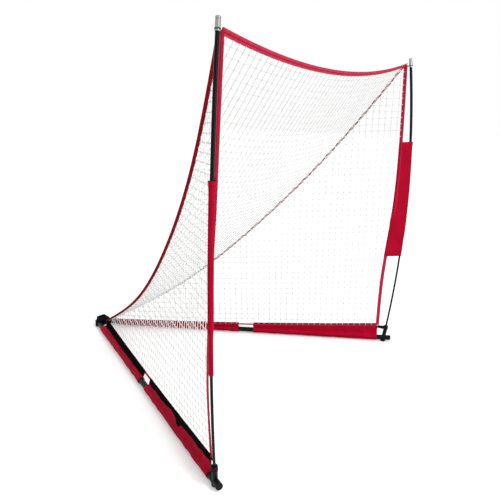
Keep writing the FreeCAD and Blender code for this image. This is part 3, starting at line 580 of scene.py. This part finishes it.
BINDING_RED = grosgrain("red_polyester_grosgrain", "c81a42", "8a0a24", "5e0618", 0.011, 0.0022, 0.25)
# The seam tape is the same red tape as the front binding, painted darker as a shaded copy.
SEAM_RED_SHADED = grosgrain("red_polyester_grosgrain_painted_shade", "a00a1c", "74060f", "4a0410", 0.0085, 0.002, 0.1)
TOP_RED = grosgrain("wide_red_polyester_grosgrain", "dc2850", "940c28", "7c0a20", 0.014, 0.0035, 0.25)
TAPE_TURN = {"left": 62.0, "right": 35.0}     # degrees by which the front tape twists
TURN_FROM, TURN_OVER = 0.3, 0.35              # the share of the height where that starts, and its reach
BELOW_TIP = 0.985                             # past here the two edges are too close to give a direction
top_bindings = {}
for side, sign in SIDES:
    share = np.linspace(0, 1, 180)
    edge = front(share)
    back = unit(seam(np.clip(share, 0, BELOW_TIP)) - front(np.clip(share, 0, BELOW_TIP)))
    facing = unit(np.cross(np.gradient(edge, axis=0), back))
    turned = np.radians(TAPE_TURN[side]) * np.clip((share - TURN_FROM) / TURN_OVER, 0, 1)[:, None] ** 2
    back = back * np.cos(turned) - facing * np.sin(turned)
    facing = unit(np.cross(np.gradient(edge, axis=0), back))
    tape = rolled_mesh(*ribbon(edge, back, facing, -11.0, 11.0, 4.4))
    made = hang(side, sign, "front_binding", tape, BINDING_RED, "front_tape")

    edge = seam(np.linspace(0.0, 1, 200))
    fin = unit(OUT + BACK_OUT)
    facing = unit(np.cross(np.gradient(edge, axis=0), fin))
    tape = rolled_mesh(*ribbon(edge, np.broadcast_to(fin, edge.shape), facing, -1.0, 16.0, 4.4))
    made = hang(side, sign, "seam_binding", tape, SEAM_RED_SHADED, "seam_tape")

    edge = back_panel(1.0, np.linspace(0.0, 1.0, 110))
    slopes = np.broadcast_to(SLOPE, edge.shape)
    facing = unit(np.cross(np.gradient(edge, axis=0), slopes))
    tape = rolled_mesh(*ribbon(edge, slopes, facing, -14.0, 14.0, 7.0, valley=0.7))
    made = hang(side, sign, "top_binding", tape, TOP_RED, "top_tape")
    top_bindings[side] = made, run_of(edge)


# Hem: the same red tape along the net's lower edge, which the base sleeves are stitched to.
# It shows only in the gap between the sleeves and at its two ends.
def band_frame(across):
    """From the tube's axis to the hem: origin on the axis, direction and length to the hem, and the outward face."""
    point = hem(across)
    origin = PIVOT + ALONG * leg_distance(point)[..., None] + UP * TUBE_Z
    reach = np.linalg.norm(point - origin, axis=-1)
    towards = unit(point - origin)
    return origin, towards, reach, unit(np.cross(towards, ALONG))


share = np.linspace(0.004, 0.99, 200)
_, towards, _, face = band_frame(share)
tape = rolled_mesh(*ribbon(hem(share), towards, face, -10.0, 3.0, 4.0, valley=0.35))
for side, sign in SIDES:
    made = hang(side, sign, "hem_tape", tape, BINDING_RED, "bottom_hem")


# Base sleeves: red coated polyester cloth that wraps each base tube and runs up to the hem as a double band.
# Cut and sewn; the round part lies on the tube, and the two plies above it come together at the hem.
JOINT_AT = 1038.0
SLEEVE_FROM_PIVOT, SLEEVE_BEFORE_JOINT = 122.0, 54.0
SLEEVE_PAST_JOINT, SLEEVE_BEFORE_SOCKET = 48.0, 45.0
SLEEVES = (("rear", (SLEEVE_FROM_PIVOT, JOINT_AT - SLEEVE_BEFORE_JOINT)),
           ("front", (JOINT_AT + SLEEVE_PAST_JOINT, LEG_LENGTH - SLEEVE_BEFORE_SOCKET)))
HEM_FRONT = float(leg_distance(FRONT[0]))
HEM_REAR = float(leg_distance(REAR))
WRAP_OUTER, WRAP_INNER = 18.5, 17.0
BAND_R = 18.0             # the band leaves the wrap's round here
BAND_CLEAR = 19.2         # and follows this radius, clear of it
BAND_BELOW_HEM = 7.0
PLY_OFF = 1.5             # each ply's distance from the band's middle under the hem
BAND_PLY = 1.1


def coated_cloth(name, code, deep, thread):
    """Plain weave with a coating: a chequer of threads at the given spacing, painted shade in the hollows between
    them, soft creases and darker soft patches.

    The threads are drawn at twice their real spacing, because the real 0.4 mm would not show.
    """
    made, tree, shader = finish_of(name)
    uv = add(tree, "TexCoord", {}, "UV")
    warp, weft = (add(tree, "TexWave", {"Vector": uv, "Scale": BAND / thread}, 1, bands_direction=way) for way in "XY")
    chequer = add(tree, "Math", {0: warp, 1: weft}, operation="MULTIPLY")
    crease = add(tree, "TexNoise", {"Vector": uv, "Scale": 1 / 0.035, "Detail": 3.0, "Distortion": 0.8})
    # darker in soft patches at random
    blotch = add(tree, "TexNoise", {"Vector": uv, "Scale": 1 / 0.12, "Detail": 2.0})
    blotched = add(tree, "MapRange", {0: blotch, 1: 0.3, 2: 0.7, 3: 0.0, 4: 0.55})
    # painted shade: the weave's hollows are mixed towards the deep colour
    weave_shade = add(tree, "MapRange", {0: chequer, 1: 0.0, 2: 0.6, 3: 0.3, 4: 0.0})
    tone = add(tree, "Mix", {0: blotched, 6: linear(code), 7: linear(deep)}, 2, data_type="RGBA")
    fine = add(tree, "Bump", {"Height": chequer, "Strength": 0.3, "Distance": 0.00012})
    plug(tree, shader, {
        "Base Color": add(tree, "Mix", {0: weave_shade, 6: tone, 7: linear(deep)}, 2, data_type="RGBA"),
        "Normal": add(tree, "Bump", {"Height": crease, "Strength": 0.55, "Distance": 0.003, "Normal": fine}),
        "Roughness": 0.55, "Specular IOR Level": 0.04})
    return made


def share_of(distance):
    """The share of the way along the hem at a distance along the leg."""
    return (HEM_FRONT - distance) / (HEM_FRONT - HEM_REAR)


def tube_wrap(start, end):
    """The cloth round the tube: a closed wall 1.5 mm thick, in waves of up to 2.6 mm outside and below."""
    along = np.linspace(start, end, int((end - start) / 9))[:, None]
    turn = np.linspace(0, 2 * np.pi, 36, endpoint=False)[None]
    puff = 0.35 * np.sin(along / 21.0 + 3 * turn) + 0.25 * np.sin(along / 9.0 - 2 * turn)
    swell = 1.3 + 1.3 * np.sin(along / 26.0 + 2.4 * np.sin(along / 67.0))
    puff = puff + np.clip(np.cos(turn + 0.8), 0, 1) ** 2 * swell
    rings = []
    for radius in (WRAP_OUTER + puff, WRAP_INNER + 0 * puff):
        ring = OUT * (radius * np.cos(turn))[..., None] + UP * (radius * np.sin(turn))[..., None]
        rings.append(PIVOT + ALONG * along[..., None] + UP * TUBE_Z + ring)
    grid = np.concatenate([rings[0], rings[1][::-1]])
    length = np.concatenate([along[:, 0], along[::-1, 0]]) - start
    rows, columns = grid.shape[:2]
    i, j, faces = quads(rows, columns, closed=True)
    uvs = np.stack([length[i % rows], j * (2 * np.pi * WRAP_OUTER / columns)], -1)
    return grid.reshape(-1, 3), faces, uvs


def ply(distance, reach, up):
    """How far each cloth stands off the band's middle at a height above the tube's axis, and what a crease adds.

    The cloth follows the round of the wrap, then pinches in as the square of what is left of the way to the hem.
    """
    foot = BAND_R ** 2 / reach
    climb = np.clip((up - foot) / (reach - BAND_BELOW_HEM - foot), 0, 1)
    pinch = PLY_OFF + (BAND_R - PLY_OFF) * np.clip(1 - climb / 0.45, 0, 1) ** 2
    uneven = 0.6 + 0.4 * np.sin(distance / 91.0 + 1.0)
    slow = 2.4 * np.sin(distance / 27.0 + 2.3 * np.sin(distance / 73.0))
    crease = uneven * (slow + 0.8 * np.sin(distance / 9.0 + 4 * climb))
    return np.maximum(pinch, np.sqrt(np.clip(BAND_CLEAR ** 2 - up ** 2, 0, None))), crease * np.sin(np.pi * climb)


def double_band(start, end):
    """Two plies from the tube's sides to the hem, as one closed strip: over both outsides, then back inside."""
    distance = np.linspace(start, end, int((end - start) / 8))
    origin, towards, reach, face = band_frame(share_of(distance))
    foot = BAND_R ** 2 / reach[:, None]
    climb = np.linspace(0, 1, 15)[None] ** 1.2
    up = foot + (reach[:, None] - BAND_BELOW_HEM - foot) * climb
    out, crease = ply(distance[:, None], reach[:, None], up)
    thin = BAND_PLY / 2
    walls = [(1, thin, 1), (-1, thin, -1), (-1, -thin, 1), (1, -thin, -1)]
    ups = np.concatenate([up[:, ::step] for _, _, step in walls], 1)
    outs = np.concatenate([(way * (out + skin) + crease)[:, ::step] for way, skin, step in walls], 1)
    grid = origin[:, None] + towards[:, None] * ups[..., None] + face[:, None] * outs[..., None]
    return rolled_mesh(grid, distance - start, ups.mean(0))


SLEEVE_RED = coated_cloth("red_coated_polyester", "b4042a", "8c031e", 0.0008)
for side, sign in SIDES:
    for part, (start, end) in SLEEVES:
        tube, sleeve = side + "_" + part + "_tube", part + "_sleeve"
        wrap = build(tube + "_wrap", sign, *tube_wrap(start, end), SLEEVE_RED)
        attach(wrap, side + "_leg")
        stand_for(side + "_" + sleeve)
        band = hang(side, sign, part + "_base_band", double_band(start, end), SLEEVE_RED, sleeve)


# Hook strips: 40 mm black nylon hook-and-loop tape stitched along the top of each base sleeve.
# The pile is a dense mat of loops, so it is very dull; the strip ripples, and has one deep fold near its middle.
def loop_pile(name, code, deep):
    """Loop tape: curly pile of 0.9 mm loops, flattened and paler in patches."""
    made, tree, shader = finish_of(name)
    uv = add(tree, "TexCoord", {}, "UV")
    pile = add(tree, "TexVoronoi", {"Vector": uv, "Scale": 1 / 0.0009})
    cloud = add(tree, "TexNoise", {"Vector": uv, "Scale": 1 / 0.02, "Detail": 4.0})
    flat = add(tree, "MapRange", {0: cloud, 1: 0.4, 2: 0.7, 3: 0.0, 4: 0.8})
    plug(tree, shader, {
        "Base Color": add(tree, "Mix", {0: flat, 6: linear(code), 7: linear(deep)}, 2, data_type="RGBA"),
        "Normal": add(tree, "Bump", {"Height": pile, "Strength": 0.8, "Distance": 0.0005}),
        "Roughness": 0.92, "Specular IOR Level": 0.03})
    return made


LOOP_BLACK = loop_pile("black_nylon_loop_tape", "030303", "0a0a0b")
STRIP_START = 94.0
STRIP_LOW = {"rear": -32.0, "front": -27.5}              # the strip's two edges, from the hem
STRIP_TOP = 11.0
STRIP_MIDDLE = 11.0                                      # its middle lies this far below the hem
STRIP_OFF = 1.5                                          # and this far outside the band
STRIP_FOLD, FOLD_AT, FOLD_WIDE = 34.0, 1540.0, 24.0      # the deep fold: depth, place and width
STRIP_PINCH, PINCH_AT, PINCH_WIDE = 9.0, 1440.0, 60.0    # the narrower stretch behind it
TAPER, TAPER_END, TAPER_LONG = 24.0, 128.0, 30.0         # the strip narrows towards the apex


def bell(distance, middle, wide):
    return np.exp(-((distance - middle) / wide) ** 2)


for side, sign in SIDES:
    for part, (start, end) in SLEEVES:
        distance = np.linspace(start if part == "front" else STRIP_START, end - 3.0, int((end - start) / 7))
        share = share_of(distance)
        origin, towards, reach, face = band_frame(share)
        rise = unit(side_panel(0.02, share) - side_panel(0.0, share))
        taper = TAPER * np.clip((TAPER_END - distance) / TAPER_LONG, 0, 1)
        deeper = STRIP_FOLD * bell(distance, FOLD_AT, FOLD_WIDE) - taper
        deeper = deeper - STRIP_PINCH * bell(distance, PINCH_AT, PINCH_WIDE)
        grid, length, offset = ribbon(origin + towards * reach[:, None], towards, face, STRIP_LOW[part] - deeper,
                                      STRIP_TOP, 2.4, valley=0.0, pucker=0.7, wander=3.0, bend=rise)
        out, crease = ply(distance[:, None], reach[:, None], reach[:, None] + offset - STRIP_MIDDLE)
        grid = grid + face[:, None] * (out + crease + STRIP_OFF)[..., None]
        tape = rolled_mesh(grid, length, offset)
        made = hang(side, sign, part + "_hook_strip", tape, LOOP_BLACK, part + "_strip")


# Apex strap: a belt of 25 mm black nylon webbing on edge round both nuts, with a tab to each rear corner of the
# net. Flat woven webbing, with its ribs in a herringbone.
def webbing(name, code, deep, rib):
    """Nylon webbing: a herringbone of ribs at the given pitch, mirrored along the middle, with slight wear."""
    made, tree, shader = finish_of(name)
    uv = add(tree, "TexCoord", {}, "UV")
    along, across = add(tree, "SeparateXYZ", {0: uv}).node.outputs[:2]
    off = add(tree, "Math", {0: across}, operation="ABSOLUTE")
    folded = add(tree, "CombineXYZ", {0: along, 1: off})
    bone = add(tree, "TexWave", {"Vector": folded, "Scale": 2 * BAND / rib}, 1, bands_direction="DIAGONAL")
    wear = add(tree, "TexNoise", {"Vector": uv, "Scale": 1 / 0.012, "Detail": 4.0})
    worn = add(tree, "MapRange", {0: wear, 1: 0.45, 2: 0.75, 3: 0.0, 4: 0.7})
    plug(tree, shader, {
        "Base Color": add(tree, "Mix", {0: worn, 6: linear(code), 7: linear(deep)}, 2, data_type="RGBA"),
        "Normal": add(tree, "Bump", {"Height": bone, "Strength": 0.6, "Distance": 0.0004}),
        "Roughness": 0.66, "Specular IOR Level": 0.08, "Sheen Weight": 0.03})
    return made


WEBBING_BLACK = webbing("black_nylon_webbing", "08080a", "1c1c1f", 0.0018)
BELT_BACK = 83.0
BELT_POSTS = np.array([(-PIVOT_X, PIVOT[1], 0.0), (PIVOT_X, PIVOT[1], 0.0), (0.0, PIVOT[1] - BELT_BACK, 0.0)])
BELT_RADII = np.array([11.6, 11.6, 4.2])
BELT_WIDTH = 25.0
BELT_LOW = 43.9
BELT_CLIMB = 0.1          # mm for each mm towards the net
TAB_START = BELT_POSTS[2] + [1.5, -2.0, 63.0]
TAB_END = REAR + [2.0, -4.0, 2.0]


def belt_line():
    """Round three posts: for each direction, the point of the circles about them that lies furthest that way."""
    turn = np.linspace(0, 2 * np.pi, 121)
    way = np.column_stack([np.sin(turn), np.cos(turn), 0 * turn])
    most = (way @ BELT_POSTS.T + BELT_RADII).argmax(1)
    points = BELT_POSTS[most] + way * BELT_RADII[most][:, None]
    climb = BELT_CLIMB * (points[:, 1].max() - points[:, 1])
    return points + UP * (BELT_LOW + BELT_WIDTH / 2 + climb)[:, None], way


belt, way = belt_line()
tape = rolled_mesh(*ribbon(belt, np.broadcast_to(UP, belt.shape), way, -BELT_WIDTH / 2, BELT_WIDTH / 2, 2.6,
                           valley=0.0, wander=0.0))
made = build("apex_belt", 1, *tape, WEBBING_BLACK)
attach(made, "base")
stand_for("apex_strap")
for side, sign in SIDES:
    tab = np.linspace(TAB_START, TAB_END, 14)
    tall = np.broadcast_to(UP, tab.shape)
    facing = unit(np.cross(np.gradient(tab, axis=0), tall))
    tape = rolled_mesh(*ribbon(tab, tall, facing, -9.0, 9.0, 2.4, valley=0.0))
    made = build(side + "_apex_tab", sign, *tape, WEBBING_BLACK)
    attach(made, "base")
    stand_for("apex_strap")


# Foot straps: 18 mm black webbing passed round each pole socket and sewn to the net's lower front corner.
# The same webbing as the belt; its two ends lie together between the socket and the corner.
def looped_strap(centre, axis, target, radius, width, thick, tail):
    """A band round a post that leaves it towards a point: a circle joined to two straight runs that meet there.

    The band's middle line goes out along one run, round the circle and back along the other run.
    """
    axis = unit(axis)
    to = target - centre
    to = unit(to - axis * (to @ axis))
    sideways = np.cross(axis, to)
    reach = (target - centre) @ to - tail
    lean = math.acos(min(0.98, (radius - thick / 2) / reach))
    turn = np.linspace(lean, 2 * np.pi - lean, 30)[:, None]
    circle = centre + (to * np.cos(turn) + sideways * np.sin(turn)) * radius
    ends = [centre + to * reach + sideways * (thick / 2), centre + to * reach - sideways * (thick / 2)]
    out = np.linspace(ends[0], circle[0], 10)[:-1]
    home = np.linspace(circle[-1], ends[1], 10)[1:]
    path = np.vstack([out, circle, home])
    across = np.broadcast_to(axis, path.shape)
    facing = unit(np.cross(across, np.gradient(path, axis=0)))
    return rolled_mesh(*ribbon(path, across, facing, -width / 2, width / 2, thick, valley=0.0, pucker=0.2))


SOCKET_AXIS = unit(LEAN)
FOOT_STRAP_TOP = 97.0
STRAP_BELOW_TOP = 7.0
STRAP_AT = FOOT + LEAN * FOOT_STRAP_TOP - SOCKET_AXIS * STRAP_BELOW_TOP
for side, sign in SIDES:
    strap = looped_strap(STRAP_AT, SOCKET_AXIS, FRONT[0], radius=14.0, width=18.0, thick=2.2, tail=3.0)
    made = build(side + "_foot_webbing", sign, *strap, WEBBING_BLACK)
    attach(made, side + "_leg")
    stand_for(side + "_foot_strap")


# Corner loops: thin grey elastic round each tip ferrule, sewn to the net's top corner, so the corner can't slip.
# Braided elastic: ribs along it, matt and slightly uneven.
ELASTIC_GREY = webbing("grey_braided_elastic", "4c4b47", "6b6a64", 0.0009)
LOOP_BELOW_TIP = 41.0
TIP_AXIS = unit(POLE[-1] - POLE[-4])
LOOP_AT = POLE[-1] - TIP_AXIS * LOOP_BELOW_TIP


for side, sign in SIDES:
    loop = looped_strap(LOOP_AT, TIP_AXIS, CORNER, radius=11.0, width=5.0, thick=1.1, tail=4.0)
    made = build(side + "_tip_elastic", sign, *loop, ELASTIC_GREY)
    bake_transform(made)
    stand_for(side + "_corner_loop")
    binding, length = top_bindings[side]


# Post sleeves: a flap of the red coated cloth wrapped round each pole and sewn to the net's front binding.
# It is one piece folded double, so it hangs from the pole with slow waves and a soft roll round the pole.
POST_SLEEVES = {"left": 540.0, "right": 585.0}
SLEEVE_HEIGHT = 735.0
SLEEVE_PAST_EDGE = 11.0
FLAP_PLY = 1.2
FLAP_GAP = 3.0            # each ply's distance from the flap's middle at the binding
FLARE, FLARE_LONG = 2.8, 60.0
WRAP_HEIGHTS = [0.0, 690.0, 745.0, 1330.0]
WRAP_RADII = [8.6, 8.6, 11.0, 11.4]


def post_wrap(low):
    """At each height: from the binding to the pole, round it and back, as one closed strip of cloth.

    The roll is tight on the thin rod, looser up the tube and flares in its last stretch. Both plies sway together.
    """
    heights = np.linspace(low, low + SLEEVE_HEIGHT, 96)
    pole = at_height(POLE, heights)
    edge = at_height(FRONT, heights)
    to = unit(edge - pole)
    sideways = unit(np.cross(UP, to))
    reach = np.linalg.norm(edge - pole, axis=1)[:, None] + SLEEVE_PAST_EDGE
    flare = FLARE * np.clip((heights - low - SLEEVE_HEIGHT) / FLARE_LONG + 1, 0, 1) ** 2
    lean = math.acos(0.30)
    turn = np.linspace(lean, 2 * np.pi - lean, 22)[None]
    run = np.linspace(1, 0, 12)[None, :-1]
    walls = []
    for thin in (FLAP_PLY / 2, -FLAP_PLY / 2):
        radius = (np.interp(heights, WRAP_HEIGHTS, WRAP_RADII) + flare)[:, None] + thin
        x = radius * np.cos(turn) + 0 * reach
        y = radius * np.sin(turn) + 0 * reach
        straight_x = x[:, :1] + (reach - x[:, :1]) * run
        straight_y = y[:, :1] + (FLAP_GAP + thin - y[:, :1]) * run ** 0.6
        walls.append((np.hstack([straight_x, x, straight_x[:, ::-1]]),
                      np.hstack([straight_y, y, -straight_y[:, ::-1]])))
    x = np.hstack([walls[0][0], walls[1][0][:, ::-1]])
    y = np.hstack([walls[0][1], walls[1][1][:, ::-1]])
    h = heights[:, None]
    near = np.clip(x / reach, 0, 1)
    sway = (2.4 * np.sin(h / 41.0 + np.sin(h / 97.0)) + 1.2 * np.sin(h / 19.0 + 2 * near)) * np.sin(np.pi * near) ** 2
    grid = pole[:, None] + to[:, None] * x[..., None] + sideways[:, None] * (y + sway)[..., None]
    around = np.concatenate([[0], np.cumsum(np.hypot(np.diff(x[0]), np.diff(y[0])))])
    return rolled_mesh(grid, heights - low, around)


for side, sign in SIDES:
    low = POST_SLEEVES[side]
    made = build(side + "_post_wrap", sign, *post_wrap(low), SLEEVE_RED)
    middle = low + SLEEVE_HEIGHT / 2
    pole, edge = at_height(POLE, middle), at_height(FRONT, middle)
    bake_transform(made)
    stand_for(side + "_post_sleeve")


# Studio: a wide white floor that glows a little where it is looked at, so that broad shadows go and contact
# shadows stay; even white air; a soft key light from high on the right; a soft box that the poles mirror.
def viewed_rays(tree):
    """1 for rays from the camera, mirrored rays and rays through glass, else 0."""
    rays = add(tree, "LightPath", {}).node.outputs
    through = {0: rays["Is Glossy Ray"], 1: rays["Is Transmission Ray"]}
    indirect = add(tree, "Math", through, operation="MAXIMUM")
    return add(tree, "Math", {0: rays["Is Camera Ray"], 1: indirect}, operation="MAXIMUM")


floor_mesh = bpy.data.meshes.new("studio_floor")
floor_mesh.from_pydata([(-30, -30, 0), (30, -30, 0), (30, 30, 0), (-30, 30, 0)], [], [(0, 1, 2, 3)])
floor = bpy.data.objects.new("studio_floor", floor_mesh)
bpy.context.scene.collection.objects.link(floor)
paper, tree, shader = finish_of("white_paper")
viewed = viewed_rays(tree)
tone = add(tree, "Mix", {0: viewed, 6: linear("c4c4c4"), 7: linear("f8f8f8")}, 2, data_type="RGBA")
plug(tree, shader, {"Base Color": tone, "Roughness": 0.95})
strength = add(tree, "Math", {0: viewed, 1: 0.19}, operation="MULTIPLY")
glow = add(tree, "Emission", {"Color": (1, 1, 1, 1), "Strength": strength})
lit = add(tree, "AddShader", {0: shader.outputs[0], 1: glow})
plug(tree, tree.nodes["Material Output"], {"Surface": lit})
floor_mesh.materials.append(paper)

world = bpy.data.worlds.new("studio_air")
bpy.context.scene.world = world
world.use_nodes = True
tree = world.node_tree
tree.nodes.clear()
air = add(tree, "Background", {"Color": (1, 1, 1, 1), "Strength": 0.8})
white = add(tree, "Background", {"Color": (1, 1, 1, 1), "Strength": 1.0})
mixed = add(tree, "MixShader", {0: viewed_rays(tree), 1: air, 2: white})
plug(tree, tree.nodes.new("ShaderNodeOutputWorld"), {"Surface": mixed})

# The camera was fitted to the photograph: place in metres, turns in radians, focal length in its pixels.
CAMERA_AT = np.array([-2492.85, -2101.4, 1518.89]) * 0.001
YAW, PITCH, ROLL = 0.968163, 0.249302, 0.00878597
FOCAL, PICTURE, SENSOR = 559.57, 500, 36.0
ahead = np.array([math.sin(YAW) * math.cos(PITCH), math.cos(YAW) * math.cos(PITCH), -math.sin(PITCH)])
level = np.array([math.cos(YAW), -math.sin(YAW), 0.0])
upright = np.cross(level, ahead)
right = math.cos(ROLL) * level + math.sin(ROLL) * upright
top = -math.sin(ROLL) * level + math.cos(ROLL) * upright
flat_ahead = unit(ahead * np.array([1, 1, 0]))


def lamp(name, kind, towards, energy):
    """A light that shines from the direction given; returns the light and its object."""
    light = bpy.data.lights.new(name, kind)
    light.energy = energy
    made = bpy.data.objects.new(name, light)
    bpy.context.scene.collection.objects.link(made)
    made.rotation_mode = "QUATERNION"
    made.rotation_quaternion = Vector(towards).to_track_quat("Z", "Y")
    return light, made


key, _ = lamp("key_light", "SUN", level * 0.8 - flat_ahead * 0.5 + UP, 1.1)
key.angle = math.radians(18.0)

# The box is tall and stands low on the right, so that it shows as a line of light in the upright poles.
BOX_TURN = math.radians(48.0)
BOX_AIM = np.array([-0.9, -0.85, 1.7])
BOX_AWAY = 4.5
box_way = level * math.sin(BOX_TURN) - flat_ahead * math.cos(BOX_TURN)
panel, box = lamp("soft_box", "AREA", box_way, 100.0)
panel.shape = "RECTANGLE"
panel.size, panel.size_y = 1.2, 4.0
box.visible_camera = False
box.location = Vector(BOX_AIM + box_way * BOX_AWAY)

view = bpy.data.cameras.new("photograph_view")
view.sensor_width = SENSOR
view.lens = FOCAL / PICTURE * SENSOR
view.clip_end = 100.0
camera = bpy.data.objects.new("photograph_view", view)
bpy.context.scene.collection.objects.link(camera)
camera.matrix_world = Matrix(np.vstack([np.column_stack([right, top, -ahead, CAMERA_AT]), [0, 0, 0, 1]]).tolist())
bpy.context.scene.camera = camera
bpy.context.scene.view_settings.view_transform = "Standard"
